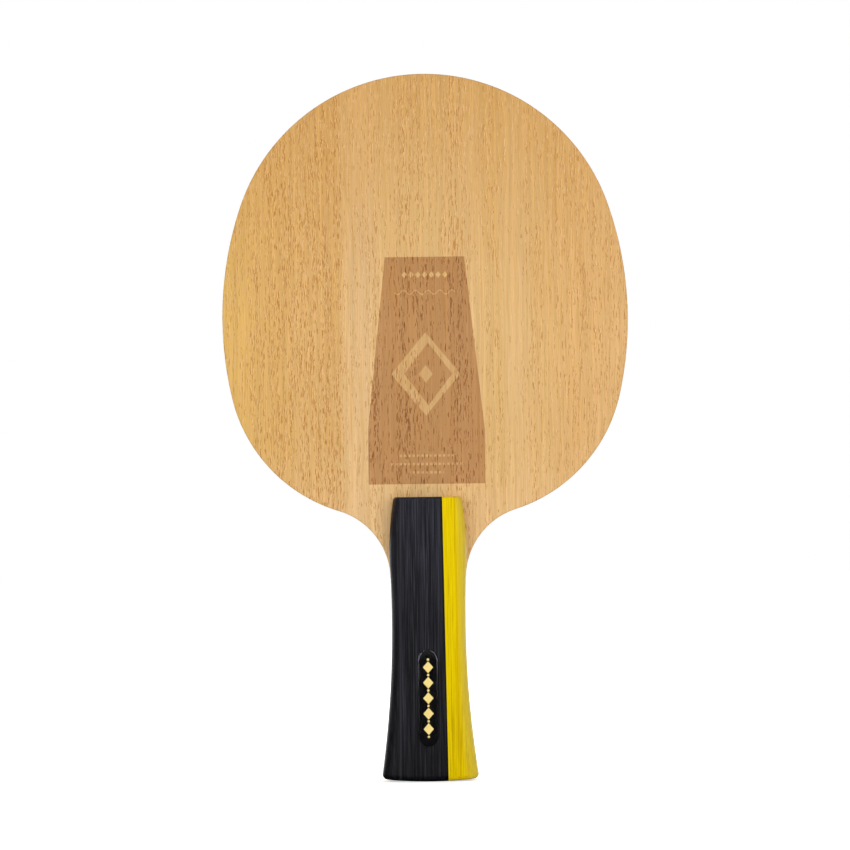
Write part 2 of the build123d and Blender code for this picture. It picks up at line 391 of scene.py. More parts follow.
def printed_ink(tree, x, z):
    """Where the brown ink lies, in millimetres up from the tip: a panel that widens downwards and
    then runs straight, less the ornaments that are left bare. They are a hollow lozenge with a
    small solid one in it, a row of lozenges and a wave above it, and three dashed rules below."""
    edge = 0.09  # half the width of the print's soft edge
    top, knee, base = -67.7, -131.8, -151.7
    half_top, half_base = 14.7, 21.6
    row_z, wave_z, ring_z = -74.3, -80.8, -111.0
    rules = ((-141.2, 10.2), (-144.3, 13.4), (-147.4, 6.2))  # height and half width
    side = add(tree, "ShaderNodeMath", {0: x}, operation="ABSOLUTE")

    widening = share_between(tree, z, top, knee)
    half = add(tree, "ShaderNodeMath",
               {0: widening, 1: half_base - half_top, 2: half_top}, operation="MULTIPLY_ADD")
    inside = add(tree, "ShaderNodeMath", {0: half, 1: side}, operation="SUBTRACT")
    panel = all_of(tree, [
        share_between(tree, inside, -edge, edge),
        share_between(tree, z, top + edge, top - edge),
        share_between(tree, z, base - edge, base + edge),
    ])

    def apart(value, centre):
        """How far value is from centre, on either side."""
        off = add(tree, "ShaderNodeMath", {0: value, 1: centre}, operation="SUBTRACT")
        return add(tree, "ShaderNodeMath", {0: off}, operation="ABSOLUTE")

    def lozenge(across, half_width, half_height, centre):
        """Inside across / half_width + |z - centre| / half_height = 1."""
        up = all_of(tree, [apart(z, centre), 1 / half_height])
        reach = add(tree, "ShaderNodeMath",
                    {0: across, 1: 1 / half_width, 2: up}, operation="MULTIPLY_ADD")
        blur = 2 * edge / half_width
        return share_between(tree, reach, 1 + blur, 1 - blur)

    def rule(centre, half_width, pitch=0.8, filled=0.55, half_height=0.45):
        """A rule of dashes, each the share filled of its pitch, out to half_width."""
        step = add(tree, "ShaderNodeMath", {0: side, 1: pitch}, operation="PINGPONG")
        return all_of(tree, [
            share_between(tree, step, filled * pitch + edge, filled * pitch - edge),
            share_between(tree, apart(z, centre), half_height + edge, half_height - edge),
            share_between(tree, side, half_width + edge, half_width - edge),
        ])

    # the ring is thicker on its left
    hollow = lozenge(apart(x, 0.9), 8.9, 11.6, ring_z)
    ring = add(tree, "ShaderNodeMath", {0: lozenge(side, 12.8, 15.4, ring_z), 1: hollow},
               operation="SUBTRACT")
    step = add(tree, "ShaderNodeMath", {0: side, 1: 1.25}, operation="PINGPONG")
    row = all_of(tree, [lozenge(step, 1.0, 1.2, row_z), share_between(tree, side, 8.8, 8.7)])
    swing = add(tree, "ShaderNodeMath", {0: all_of(tree, [x, 1.4])}, operation="SINE")
    crest = add(tree, "ShaderNodeMath", {0: swing, 1: 0.75, 2: wave_z}, operation="MULTIPLY_ADD")
    wave = all_of(tree, [share_between(tree, apart(z, crest), 0.3, 0.15),
                         share_between(tree, side, 11.3, 11.1)])

    # a thin film of ink still tints the large ornaments, and a thinner one the row
    large = any_of(tree, [ring, lozenge(side, 2.6, 3.3, ring_z), wave,
                          *(rule(height, half_width) for height, half_width in rules)])
    bare = any_of(tree, [all_of(tree, [large, 0.58]), all_of(tree, [row, 0.9])])
    covered = add(tree, "ShaderNodeMath", {0: 1.0, 1: bare}, operation="SUBTRACT")
    return all_of(tree, [panel, covered])


def koto_veneer(name, printed):
    """Sanded koto under thin satin lacquer: tan, golden to one side, in bands a few millimetres
    wide, with fine fibres, long golden lines, and brown pores that lean a little each way, each
    with a pale fleck beside it that is a painted highlight on its lit edge. Real fibres are too
    fine to show, so they are drawn about ten times as coarse, and the pores as wide as they need
    to be to show."""
    material, tree = new_material(name)
    place = add(tree, "ShaderNodeSeparateXYZ", {"Vector": stretched(tree, 1, 1, 1)})
    x, depth, z = (place.outputs[axis] for axis in "XYZ")

    # the grain wanders by a fraction of a millimetre over the length of a hand
    wander = add(tree, "ShaderNodeTexNoise",
                 {"Vector": stretched(tree, 30, 30, 130), "Detail": 1.0})
    across = add(tree, "ShaderNodeMath", {0: wander, 1: 2.2, 2: x}, operation="MULTIPLY_ADD")
    grain = add(tree, "ShaderNodeCombineXYZ", {"X": across, "Y": depth, "Z": z})

    def streaks(width, length, detail, rough=0.5):
        """Noise drawn out along the grain, from cells width by length millimetres."""
        cells = add(tree, "ShaderNodeVectorMath",
                    {0: grain, 1: (1 / width, 1 / width, 1 / length)}, operation="MULTIPLY")
        return add(tree, "ShaderNodeTexNoise",
                   {"Vector": cells, "Detail": detail, "Roughness": rough})

    # the bands of this sheet: millimetres from its middle, tone, and how its pores and its long
    # lines crowd
    bands = (
        (-75, "dfb562", 0.60, 1.00), (-65, "dfb364", 0.40, 1.00), (-60, "daaf66", 0.85, 1.00),
        (-50, "d7aa64", 1.00, 0.90), (-47, "dab06f", 0.80, 0.90), (-43, "d8ad6c", 1.00, 0.80),
        (-39, "d8ad6c", 0.90, 0.80), (-35, "d4a868", 1.00, 0.80), (-31, "d5aa6a", 1.00, 0.80),
        (-29, "dfb984", 0.30, 0.80), (-21, "e0bc8a", 0.35, 0.70), (-18, "dfbb87", 0.80, 0.60),
        (-14, "deba82", 0.20, 0.60), (-6, "dcb87f", 0.85, 0.60), (5, "dcb981", 0.25, 0.60),
        (13, "ddb983", 0.85, 0.60), (20, "deb982", 0.20, 0.60), (27, "dbb476", 0.60, 0.90),
        (32, "e0ba82", 0.10, 0.70), (36, "e1bb84", 0.20, 0.70), (41, "ddb57a", 0.55, 0.70),
        (46, "ddb478", 0.35, 0.90), (56, "dfb276", 0.50, 0.90), (75, "e0b57c", 0.55, 0.90),
    )
    half_sheet = bands[-1][0]
    sheet = add(tree, "ShaderNodeMapRange",
                {"Value": across, "From Min": -half_sheet, "From Max": half_sheet})
    ground, crowding, lining = (
        add(tree, "ShaderNodeValToRGB", {"Fac": sheet}) for _ in range(3))
    for ramp in (ground, crowding, lining):
        stops = ramp.color_ramp.elements
        stops[0].position, stops[1].position = 0.0, 1.0
        for band in bands[1:-1]:
            stops.new((band[0] + half_sheet) / (2 * half_sheet))
    for i, (_, colour, crowd, line_crowd) in enumerate(bands):
        ground.color_ramp.elements[i].color = linear(colour)
        crowding.color_ramp.elements[i].color = (crowd, crowd, crowd, 1)
        lining.color_ramp.elements[i].color = (line_crowd, line_crowd, line_crowd, 1)

    # the sheet is browner towards the tip; towards the neck it is painted paler, painted light that
    # lifts the shade the handle casts there; and narrower bands and flushes change its tone a little
    tone = ground.outputs["Color"]
    for share, amount, colour in (
        (share_between(tree, z, 115.0, 235.0), 1.0, "c3914a"),
        # painted light near the neck, against the handle's shade
        (share_between(tree, z, 72.0, 42.0), 0.6, "f0c996"),
        (share_between(tree, streaks(2.4, 260.0, 2.0), 0.40, 0.62), 0.45, "d7a658"),
        (share_between(tree, streaks(3.6, 22.0, 2.0, 0.6), 0.50, 0.66), 0.45, "deaf80"),
    ):
        tone = add(tree, "ShaderNodeMix",
                   {"Factor": all_of(tree, [share, amount]), "A": tone, "B": linear(colour)},
                   data_type="RGBA")

    # bands and fibres change the brightness too
    fibres = streaks(0.30, 14.0, 4.0, 0.7)
    narrow_bands = streaks(0.9, 180.0, 3.0, 0.65)
    brightness = all_of(tree, [
        add(tree, "ShaderNodeMapRange",
            {"Value": noise, "From Min": 0.25, "From Max": 0.75,
             "To Min": 1 - swing / 2, "To Max": 1 + swing / 2})
        for noise, swing in ((streaks(7.0, 420.0, 2.0), 0.20), (narrow_bands, 0.30), (fibres, 0.08))
    ])
    fibred = add(tree, "ShaderNodeVectorMath", {0: tone, "Scale": brightness},
                 operation="SCALE")

    # long golden lines as thin as a thread
    drawn = all_of(tree, [share_between(tree, streaks(0.40, 110.0, 2.0, 0.6), 0.50, 0.58),
                          share_between(tree, narrow_bands, 0.42, 0.58),
                          lining.outputs["Color"]])
    lined = add(tree, "ShaderNodeMix",
                {"Factor": drawn, "A": fibred, "B": linear("be8a38")}, data_type="RGBA")

    # pores: strong dashes and fine ones from another stretch of the same random cells, strung
    # along the grain, darker where they crowd. They sway together from one side to the other,
    # a few millimetres at a time
    strung = share_between(tree, streaks(2.6, 90.0, 1.0), 0.46, 0.53)
    patch = share_between(tree, streaks(3.4, 15.0, 1.0), 0.40, 0.54)
    density = all_of(tree, [
        crowding.outputs["Color"],
        add(tree, "ShaderNodeMath", {0: strung, 1: 0.9, 2: 0.1}, operation="MULTIPLY_ADD"),
        add(tree, "ShaderNodeMath", {0: patch, 1: 0.8, 2: 0.2}, operation="MULTIPLY_ADD"),
        1.5,
    ])
    sway = share_between(tree, streaks(2.6, 6.5, 1.0), 0.35, 0.65)
    lean = add(tree, "ShaderNodeMath", {0: sway, 1: 1.7, 2: -0.85}, operation="MULTIPLY_ADD")
    strong, strong_highlight = pore_dashes(tree, across, z, (0.72, 2.9), (0.38, 2.9), density, lean)
    elsewhere = add(tree, "ShaderNodeMath", {0: across, 1: 40.3}, operation="ADD")
    fine, fine_highlight = pore_dashes(tree, elsewhere, z, (0.5, 4.4), (0.25, 4.8), density, lean)
    pores = any_of(tree, [strong, all_of(tree, [fine, 0.7])])
    # the pale dash beside each pore is a painted highlight on its lit edge
    pore_highlight = all_of(tree, [any_of(tree, [strong_highlight, fine_highlight]), 0.45])
    highlighted = add(tree, "ShaderNodeMix",
                  {"Factor": pore_highlight, "A": lined, "B": linear("efcb92")}, data_type="RGBA")
    strength = add(tree, "ShaderNodeMapRange",
                   {"Value": crowding.outputs["Color"], "From Min": 0.1, "From Max": 0.9,
                    "To Min": 0.5, "To Max": 1.0})
    pore_share = all_of(tree, [pores, strength, 0.93])
    tone = add(tree, "ShaderNodeMix",
               {"Factor": pore_share, "A": highlighted, "B": linear("b4772c")}, data_type="RGBA")

    sheen = add(tree, "ShaderNodeMapRange", {"Value": fibres, "To Min": 0.44, "To Max": 0.60})
    if printed:
        up_from_tip = add(tree, "ShaderNodeMath", {0: z, 1: TIP_Z / MM}, operation="SUBTRACT")
        ink = printed_ink(tree, x, up_from_tip)
        # the ink sinks into the pores
        film = add(tree, "ShaderNodeMix",
                   {"Factor": pores, "A": linear("d6c0ae"), "B": linear("b4977f")},
                   data_type="RGBA")
        inked = add(tree, "ShaderNodeMix", {"Factor": 1.0, "A": tone, "B": film},
                    data_type="RGBA", blend_type="MULTIPLY")
        tone = add(tree, "ShaderNodeMix", {"Factor": ink, "A": tone, "B": inked},
                   data_type="RGBA")

    height = add(tree, "ShaderNodeMath", {0: all_of(tree, [fibres, 0.35]), 1: pores},
                 operation="SUBTRACT")
    relief = add(tree, "ShaderNodeBump",
                 {"Strength": 0.5, "Distance": 0.04 * MM, "Height": height})
    shader = add(tree, "ShaderNodeBsdfPrincipled",
                 {"Base Color": tone, "Roughness": sheen, "Normal": relief,
                  "Specular IOR Level": 0.3})
    add(tree, "ShaderNodeOutputMaterial", {"Surface": shader})
    return material


printed_veneer = koto_veneer("lacquered koto veneer with print", printed=True)
plain_veneer = koto_veneer("lacquered koto veneer", printed=False)
layer("front_face_ply", printed_veneer, RING_PARTING + SAWN_EDGE_EASE, FACE_RIM_EASE)
layer("back_face_ply", plain_veneer, FACE_RIM_EASE, SAWN_EDGE_EASE)

# ==== Handle scales ========================================================================
# Two scales of stained open-grained wood, each glued up from a black and a yellow strip, glued
# to the blade's tongue, and shaped together: flanks rounded over with a router, ends broken
# by sanding. The stain sinks into the open grain and leaves fine grooves that run lengthways.

SCALE_TOP_HALF = 12.5 * MM
SHOULDER_RADIUS = 118 * MM
FLANK_ROUNDING = 5 * MM
RIDGE_AT_TOP = 10.0 * MM
RIDGE_AT_BUTT = 11.1 * MM
RIDGE_TURN = math.radians(12.5)  # what the flank's round lacks to a quarter
TOP_ROUNDING = 1 * MM
JOINT_AT_TOP = 5.4 * MM
JOINT_AT_BUTT = 6.6 * MM
JOINT_EASE = 0.15 * MM
GROOVE_DEPTH = 0.07 * MM
WIDE_GROOVE = (0.9 * MM, 80 * MM)
FINE_GROOVE = (0.42 * MM, 36 * MM)
EDGE_FADE = 0.35 * MM
END_FADE = 0.6 * MM
GLUE_Y = handle_high[1]
SCALE_FRONT_Y = handle_low[1]

shoulder_centre = crossing(
    SIDE_CENTRE, SIDE_RADIUS + SHOULDER_RADIUS, np.array([SCALE_TOP_HALF, HEAD_BASE_Z]),
    SHOULDER_RADIUS
)
shoulder_end = touching((SIDE_CENTRE, SIDE_RADIUS), (shoulder_centre, SHOULDER_RADIUS))


def scale_half_width(z):
    """Half the scale's width at height z: the shoulder's arc above where it meets the flared side."""
    flared = SIDE_CENTRE[0] - np.sqrt(SIDE_RADIUS**2 - (z - SIDE_CENTRE[1]) ** 2)
    shoulder = shoulder_centre[0] + np.sqrt(SHOULDER_RADIUS**2 - (z - shoulder_centre[1]) ** 2)
    return np.where(z > shoulder_end[1], shoulder, flared)


def lattice_noise(u, v, seed):
    """Smooth noise from 0 to 1: random numbers on a lattice of unit cells, blended between the
    four corners of each cell with the curve 3 t^2 - 2 t^3."""
    size = 128
    table = np.random.default_rng(seed).random((size, size))
    column, row = np.floor(u).astype(int), np.floor(v).astype(int)
    s, t = u - column, v - row
    s, t = s * s * (3 - 2 * s), t * t * (3 - 2 * t)
    left, right = column % size, (column + 1) % size
    low, high = row % size, (row + 1) % size
    lower = table[low, left] * (1 - s) + table[low, right] * s
    upper = table[high, left] * (1 - s) + table[high, right] * s
    return lower * (1 - t) + upper * t


def grooves(across, z, seed):
    """Depth from 0 to 1 of the open grain: narrow long cells, kept only where they run deep."""
    wide, fine = (
        lattice_noise(across / width, z / length, seed + i)
        for i, (width, length) in enumerate((WIDE_GROOVE, FINE_GROOVE))
    )
    return np.clip(1.7 * (0.55 * wide + 0.45 * fine) - 0.75, 0, 1)


def handle_strip(name, yellow, back, seed):
    """One strip as a closed skin. Columns go from the flank's foot, up the flank, round it by an
    ellipse's arc that stops short of a quarter, so that a low ridge is left, and over the front to
    the joint; rows go from butt to top, rolled in at both ends by a quarter circle. The foot of
    the joint and the glue face close it, and grooves cut it along z."""
    body_rows = 230
    flank_columns, round_columns, front_columns = 8, 26, 40 if yellow else 90

    # distance from each end, with rows crowded where the ends roll over
    roll = 1 - np.cos(np.linspace(0, 1, 9) * math.pi / 2)
    lower, upper = BUTT_ROUNDING * roll, TOP_ROUNDING * roll
    length = HEAD_BASE_Z - BUTT_Z
    between = np.linspace(BUTT_ROUNDING, length - TOP_ROUNDING, body_rows)
    from_butt = np.concatenate([lower, between[1:-1], length - upper[::-1]])[:, None]
    from_top = length - from_butt
    roll_butt = np.clip(BUTT_ROUNDING - from_butt, 0, None)
    roll_top = np.clip(TOP_ROUNDING - from_top, 0, None)
    inset = (BUTT_ROUNDING - np.sqrt(BUTT_ROUNDING**2 - roll_butt**2)
             + TOP_ROUNDING - np.sqrt(TOP_ROUNDING**2 - roll_top**2))

    def bowed_z(x):
        """The height of a row at x: the butt's bow, fading out towards the top."""
        bow = BUTT_RADIUS - np.sqrt(BUTT_RADIUS**2 - x**2)
        return BUTT_Z + from_butt + bow * (1 - from_butt / length)

    # the half width and the height depend on each other, and settle in three rounds
    z = BUTT_Z + from_butt
    for _ in range(3):
        half = scale_half_width(z) - inset
        z = bowed_z(half)
    joint = JOINT_AT_BUTT + (JOINT_AT_TOP - JOINT_AT_BUTT) * from_butt / length
    front = SCALE_FRONT_Y + inset
    rounding = FLANK_ROUNDING - inset
    ridge = RIDGE_AT_BUTT + (RIDGE_AT_TOP - RIDGE_AT_BUTT) * from_butt / length

    last = math.pi / 2 - RIDGE_TURN
    turn = np.linspace(0, last, round_columns)[None, :]
    rise = np.linspace(0, 1, flank_columns)[None, :-1]
    run = np.linspace(0, 1, front_columns)[None, 1:]
    ease = np.linspace(0, math.pi / 2, 6)[None, 1:]
    sign = 1 if yellow else -1
    out = (np.cos(turn) - math.cos(last)) / (1 - math.cos(last))
    round_x = sign * (ridge + (half - ridge) * out)
    round_y = front + rounding * (1 - np.sin(turn) / math.sin(last))
    flank_x = sign * half * np.ones_like(rise)
    flank_y = GLUE_Y + (front + rounding - GLUE_Y) * rise
    edge_x = sign * ridge
    eased_x = joint + sign * JOINT_EASE
    front_x = edge_x + (eased_x - edge_x) * run
    front_y = front * np.ones_like(run)
    ease_x = joint + sign * JOINT_EASE * (1 - np.sin(ease))
    ease_y = front + JOINT_EASE * (1 - np.cos(ease))
    x = np.concatenate([flank_x, round_x, front_x, ease_x], axis=1)
    y = np.concatenate([flank_y, round_y, front_y, ease_y], axis=1)

    # cut the grooves square to the skin, and fade them at the glue line and the joint
    height = bowed_z(x)
    steps = np.hypot(np.diff(x, axis=1), np.diff(y, axis=1))
    path = np.concatenate([np.zeros_like(half), np.cumsum(steps, axis=1)], axis=1)
    edge_fade = np.clip(np.minimum(path, path[:, -1:] - path) / EDGE_FADE, 0, 1)
    end_fade = np.clip(np.minimum(from_butt, from_top) / END_FADE, 0, 1)
    cut = GROOVE_DEPTH * grooves(x + 0.6 * y, height, seed) * edge_fade * end_fade
    along_x, along_y = np.gradient(x, axis=1), np.gradient(y, axis=1)
    size = np.hypot(along_x, along_y)
    x = x - sign * cut * np.abs(along_y) / size
    y = y + cut * np.abs(along_x) / size

    # a solid block under the skin, down to the glue face. Its sides are the skin, the glue face,
    # the two ends and the joint: the flank's foot lies on the glue face already
    outer = np.stack([x, y, height], axis=-1)
    share = np.linspace(0, 1, x.shape[1])[None, :]
    base_x = sign * half + (joint - sign * half) * share
    base = np.stack([base_x, np.full_like(base_x, GLUE_Y), bowed_z(base_x)], axis=-1)
    block = np.stack([outer * (1 - step) + base * step for step in (0.0, 0.25, 0.5, 0.75, 1.0)])
    sides = [outer, base, block[:, 0], block[:, -1], block[:, :, -1]]
    turned = np.array([-1, -1, 1]) if back else np.array([1, 1, 1])
    return surface(name, [side * turned for side in sides])


def stained_wood(name, body, light_streak, dark_streak, edge, arris, flank, sheen, fade,
                 roughness):
    """Open-grained wood stained through and waxed: streaks where the stain wore off the ridges
    or pooled in the grooves, a line in the colour edge along the glue joint, another in the colour
    arris along the ridge, painted shade in the colour flank on the rounded flanks, greyed on the
    yellow by a painted grazing reflection, and the whole painted darker towards the butt, as shade
    where the light falls off, down to the share fade."""
    material, tree = new_material(name)

    def streaks(width, length, detail):
        """Noise drawn out along the handle."""
        return add(tree, "ShaderNodeTexNoise",
                   {"Vector": stretched(tree, width, width, length), "Detail": detail,
                    "Roughness": 0.6})

    broad, medium, fine = streaks(2.4, 260, 2.0), streaks(0.75, 130, 3.0), streaks(0.3, 50, 3.0)
    both = add(tree, "ShaderNodeMath", {0: broad, 1: 0.5, 2: medium}, operation="MULTIPLY_ADD")
    pale = share_between(tree, both, 0.76, 0.94)
    pooled = share_between(tree, both, 0.73, 0.57)
    place = add(tree, "ShaderNodeSeparateXYZ", {"Vector": stretched(tree, 1, 1, 1)})
    # painted shade: the whole is darkened towards the butt, down to the share fade, where the light
    # falls off
    along = add(tree, "ShaderNodeMapRange",
                {"Value": place.outputs["Z"], "From Min": BUTT_Z / MM,
                 "From Max": HEAD_BASE_Z / MM, "To Min": fade, "To Max": 1.0})
    shaded_body = add(tree, "ShaderNodeVectorMath", {0: linear(body)[:3], "Scale": along},
                operation="SCALE")
    lighter = add(tree, "ShaderNodeMix",
                  {"Factor": pale, "A": shaded_body, "B": linear(light_streak)}, data_type="RGBA")
    streaked = add(tree, "ShaderNodeMix",
                   {"Factor": pooled, "A": lighter, "B": linear(dark_streak)}, data_type="RGBA")
    fine_share = add(tree, "ShaderNodeMapRange",
                     {"Value": fine, "From Min": 0.3, "From Max": 0.7,
                      "To Min": 0.84, "To Max": 1.16})
    grained = add(tree, "ShaderNodeVectorMath",
                  {0: streaked, "Scale": all_of(tree, [fine_share, along])}, operation="SCALE")

    # how far off the joint's slanted plane, measured on the front and turned over at the back
    front = add(tree, "ShaderNodeMath", {0: place.outputs["Y"]}, operation="SIGN")
    facing_x = all_of(tree, [place.outputs["X"], front])
    slant = (JOINT_AT_TOP - JOINT_AT_BUTT) / (HEAD_BASE_Z - BUTT_Z)
    up = add(tree, "ShaderNodeMath",
             {0: place.outputs["Z"], 1: slant, 2: (JOINT_AT_BUTT - slant * BUTT_Z) / MM},
             operation="MULTIPLY_ADD")
    past_joint = add(tree, "ShaderNodeMath", {0: up, 1: facing_x}, operation="ADD")
    off_joint = add(tree, "ShaderNodeMath", {0: past_joint}, operation="ABSOLUTE")
    # a line in the colour edge within 0.8 mm of the joint
    near_joint = share_between(tree, off_joint, 0.8, 0.3)
    across = add(tree, "ShaderNodeMath", {0: place.outputs["X"]}, operation="ABSOLUTE")
    ridge = add(tree, "ShaderNodeMapRange",
                {"Value": place.outputs["Z"], "From Min": BUTT_Z / MM,
                 "From Max": HEAD_BASE_Z / MM, "To Min": RIDGE_AT_BUTT / MM,
                 "To Max": RIDGE_AT_TOP / MM})
    past_ridge = add(tree, "ShaderNodeMath", {0: across, 1: ridge}, operation="SUBTRACT")
    off_ridge = add(tree, "ShaderNodeMath", {0: past_ridge}, operation="ABSOLUTE")
    # a line in the colour arris about the ridge
    ridge_line = share_between(tree, off_ridge, 0.6, 0.15)

    # painted shade on the rounded flank, where the skin turns sideways and away from the light; on the
    # yellow it also paints a grey grazing reflection
    facing = add(tree, "ShaderNodeSeparateXYZ",
                 {"Vector": add(tree, "ShaderNodeTexCoord").outputs["Normal"]})
    sideways = add(tree, "ShaderNodeMath", {0: facing.outputs["X"]}, operation="ABSOLUTE")
    flank_shade = share_between(tree, sideways, 0.15, 0.75, smooth=True)
    tone = grained
    for share, amount, colour in ((near_joint, 1.0, edge), (ridge_line, 0.6, arris), (flank_shade, 0.55, flank)):
        tone = add(tree, "ShaderNodeMix",
                   {"Factor": all_of(tree, [share, amount]), "A": tone, "B": linear(colour)},
                   data_type="RGBA")

    gloss = add(tree, "ShaderNodeMapRange",
                {"Value": medium, "From Min": 0.3, "From Max": 0.7,
                 "To Min": roughness - 0.06, "To Max": roughness + 0.06})
    height = add(tree, "ShaderNodeMath", {0: fine, 1: medium}, operation="ADD")
    relief = add(tree, "ShaderNodeBump",
                 {"Strength": 0.5, "Distance": 0.05 * MM, "Height": height})
    shader = add(tree, "ShaderNodeBsdfPrincipled",
                 {"Base Color": tone, "Roughness": gloss, "Normal": relief,
                  "Specular IOR Level": 0.14, "Specular Tint": linear(sheen)})
    add(tree, "ShaderNodeOutputMaterial", {"Surface": shader})
    return material


black_stain = stained_wood(
    "black stained wood", body="1d1d25", light_streak="454551", dark_streak="020203",
    edge="020202", arris="2c2c32", flank="0c0c0f", sheen="ffffff", fade=0.36, roughness=0.40)
yellow_stain = stained_wood(
    "yellow stained wood", body="e5c700", light_streak="ecd002", dark_streak="b59102",
    edge="e0c400", arris="cda300", flank="dec24a", sheen="ffe070", fade=0.93, roughness=0.42)

BADGE_CLEARANCE = 0.05 * MM
POCKET_OVERRUN = 1 * MM
plate_low, plate_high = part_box("badge_plate")
BADGE_CENTRE = (np.array(plate_low) + np.array(plate_high))[[0, 2]] / 2
BADGE_HALF_WIDTH = (plate_high[0] - plate_low[0]) / 2
BADGE_HALF_LENGTH = (plate_high[2] - plate_low[2]) / 2


def capsule_loop(half_width, half_length):
    """A round-ended outline about the badge's middle: a quarter circle, a straight and a quarter
    circle on the right-hand side, mirrored to the left."""
    straight = half_length - half_width
    upper = np.linspace(math.pi / 2, 0, 22)
    lower = np.linspace(0, -math.pi / 2, 22)
    rungs = np.linspace(straight, -straight, 40)[1:-1]
    right = np.concatenate([
        np.stack([half_width * np.cos(upper), straight + half_width * np.sin(upper)], axis=1),
        np.stack([np.full_like(rungs, half_width), rungs], axis=1),
        np.stack([half_width * np.cos(lower), half_width * np.sin(lower) - straight], axis=1),
    ])
    outward = np.concatenate([
        np.stack([np.cos(upper), np.sin(upper)], axis=1),
        np.stack([np.ones_like(rungs), np.zeros_like(rungs)], axis=1),
        np.stack([np.cos(lower), np.sin(lower)], axis=1),
    ])
    right[[0, -1], 0] = 0
    outward[[0, -1], 0] = 0
    points, outward = mirrored_loop(right, outward)
    return points + BADGE_CENTRE, outward


def cut_pocket(piece):
    """Mills the badge's seat out of the front scale."""
    seat_y = plate_high[1]
    loop = capsule_loop(BADGE_HALF_WIDTH + BADGE_CLEARANCE, BADGE_HALF_LENGTH + BADGE_CLEARANCE)
    proud = SCALE_FRONT_Y - POCKET_OVERRUN
    cutter = slab("cutter", loop, [(0, 1, proud), (0, 0, proud), (0, 0, seat_y), (0, 1, seat_y)])
    cut = piece.modifiers.new("pocket", "BOOLEAN")
    cut.object = cutter
    cut.operation = "DIFFERENCE"
    cut.solver = "EXACT"
    bpy.context.view_layer.objects.active = piece
    bpy.ops.object.modifier_apply(modifier=cut.name)
    bpy.data.objects.remove(cutter)
    piece.data.shade_smooth()
    piece.data.set_sharp_from_angle(angle=CRISP_TURN)


seed = 11
for side in ("front", "back"):
    for colour, stain in (("black", black_stain), ("yellow", yellow_stain)):
        node = f"{side}_{colour}_strip"
        strip = handle_strip(node.replace("_", "-"), colour == "yellow", side == "back", seed)
        if node == "front_black_strip":
            cut_pocket(strip)
        stand_in(strip, node, stain)
        seed += 10

# ==== Badge ================================================================================
# A black moulded plate sits in the front scale's pocket. Its ornament is gold foil, hot
# pressed in low facets, and clear resin poured over both stands up in a shallow dome.

PLATE_EDGE = 0.08 * MM
DOME_RIM = 0.15 * MM
DOME_CURVE = 5
DOME_SINK = 0.02 * MM
dome_low, dome_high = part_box("badge_dome")


def gloss_plastic():
    """Black moulded plastic: a deep even black with a wet gloss and a trace of flow marks."""
    material, tree = new_material("gloss black moulded plastic")
    flow = add(tree, "ShaderNodeTexNoise", {"Vector": stretched(tree, 2, 2, 6), "Detail": 2.0})
    tone = add(tree, "ShaderNodeMix",
               {"Factor": flow, "A": linear("050506"), "B": linear("0c0b0e")}, data_type="RGBA")
    shine = add(tree, "ShaderNodeMapRange", {"Value": flow, "To Min": 0.12, "To Max": 0.2})
    shader = add(tree, "ShaderNodeBsdfPrincipled",
                 {"Base Color": tone, "Roughness": shine, "Specular IOR Level": 0.05})
    add(tree, "ShaderNodeOutputMaterial", {"Surface": shader})
    return material


loop = capsule_loop(BADGE_HALF_WIDTH, BADGE_HALF_LENGTH)
plate = slab("badge-plate", loop, [
    (PLATE_EDGE, 1, plate_low[1]), (PLATE_EDGE, 0, plate_low[1]),
    (0, 0, plate_low[1] + PLATE_EDGE), (0, 0, plate_high[1]), (0, 1, plate_high[1]),
])
stand_in(plate, "badge_plate", gloss_plastic())


def gold_foil():
    """Gold foil hot-pressed on plastic: bright pale yellow metal, finely grained by the die. The
    grain is drawn as coarse as it needs to be to show."""
    material, tree = new_material("hot-pressed gold foil")
    grit = add(tree, "ShaderNodeTexNoise",
               {"Vector": stretched(tree, 0.25, 0.25, 0.25), "Detail": 3.0})
    tone = add(tree, "ShaderNodeMix",
               {"Factor": grit, "A": linear("f6d878"), "B": linear("fdeb9c")}, data_type="RGBA")
    shine = add(tree, "ShaderNodeMapRange", {"Value": grit, "To Min": 0.4, "To Max": 0.58})
    shader = add(tree, "ShaderNodeBsdfPrincipled",
                 {"Base Color": tone, "Roughness": shine, "Metallic": 0.08})
    add(tree, "ShaderNodeOutputMaterial", {"Surface": shader})
    return material


def ornament():
    """Lozenges in a column with dots between them. A mark is rings of its outline: full size at the
    foot and at the arris, then drawn in to a small flat, so that each side is a facet."""
    low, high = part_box("badge_emblem")
    count, half_height, dot = 5, 2.2 * MM, 0.45 * MM
    half_width = (high[0] - low[0]) / 2
    pitch = (high[2] - low[2] - 2 * dot) / count
    foot, arris, crest = high[1], high[1] - 0.3 * (high[1] - low[1]), low[1]
    corners = np.array([[0, half_height], [half_width, 0], [0, -half_height], [-half_width, 0]])
    edge = np.linspace(0, 1, 6, endpoint=False)[None, :, None]
    lozenge = (corners[:, None] * (1 - edge) + np.roll(corners, -1, axis=0)[:, None] * edge)
    turn = np.linspace(0, 2 * math.pi, 24, endpoint=False)
    round_dot = dot * np.stack([np.sin(turn), np.cos(turn)], axis=1)
    marks = [(lozenge.reshape(-1, 2), i - (count - 1) / 2) for i in range(count)]
    marks += [(round_dot, i - count / 2) for i in range(count + 1)]
    rings = [(0, foot), (1, foot), (1, arris), (0.35, crest), (0, crest)]
    grids = [
        np.stack([
            np.stack([BADGE_CENTRE[0] + size * outline[:, 0], np.full(len(outline), y),
                      BADGE_CENTRE[1] + step * pitch + size * outline[:, 1]], axis=1)
            for size, y in rings
        ])
        for outline, step in marks
    ]
    return surface("badge-emblem", grids, wrap_columns=True)


stand_in(ornament(), "badge_emblem", gold_foil())


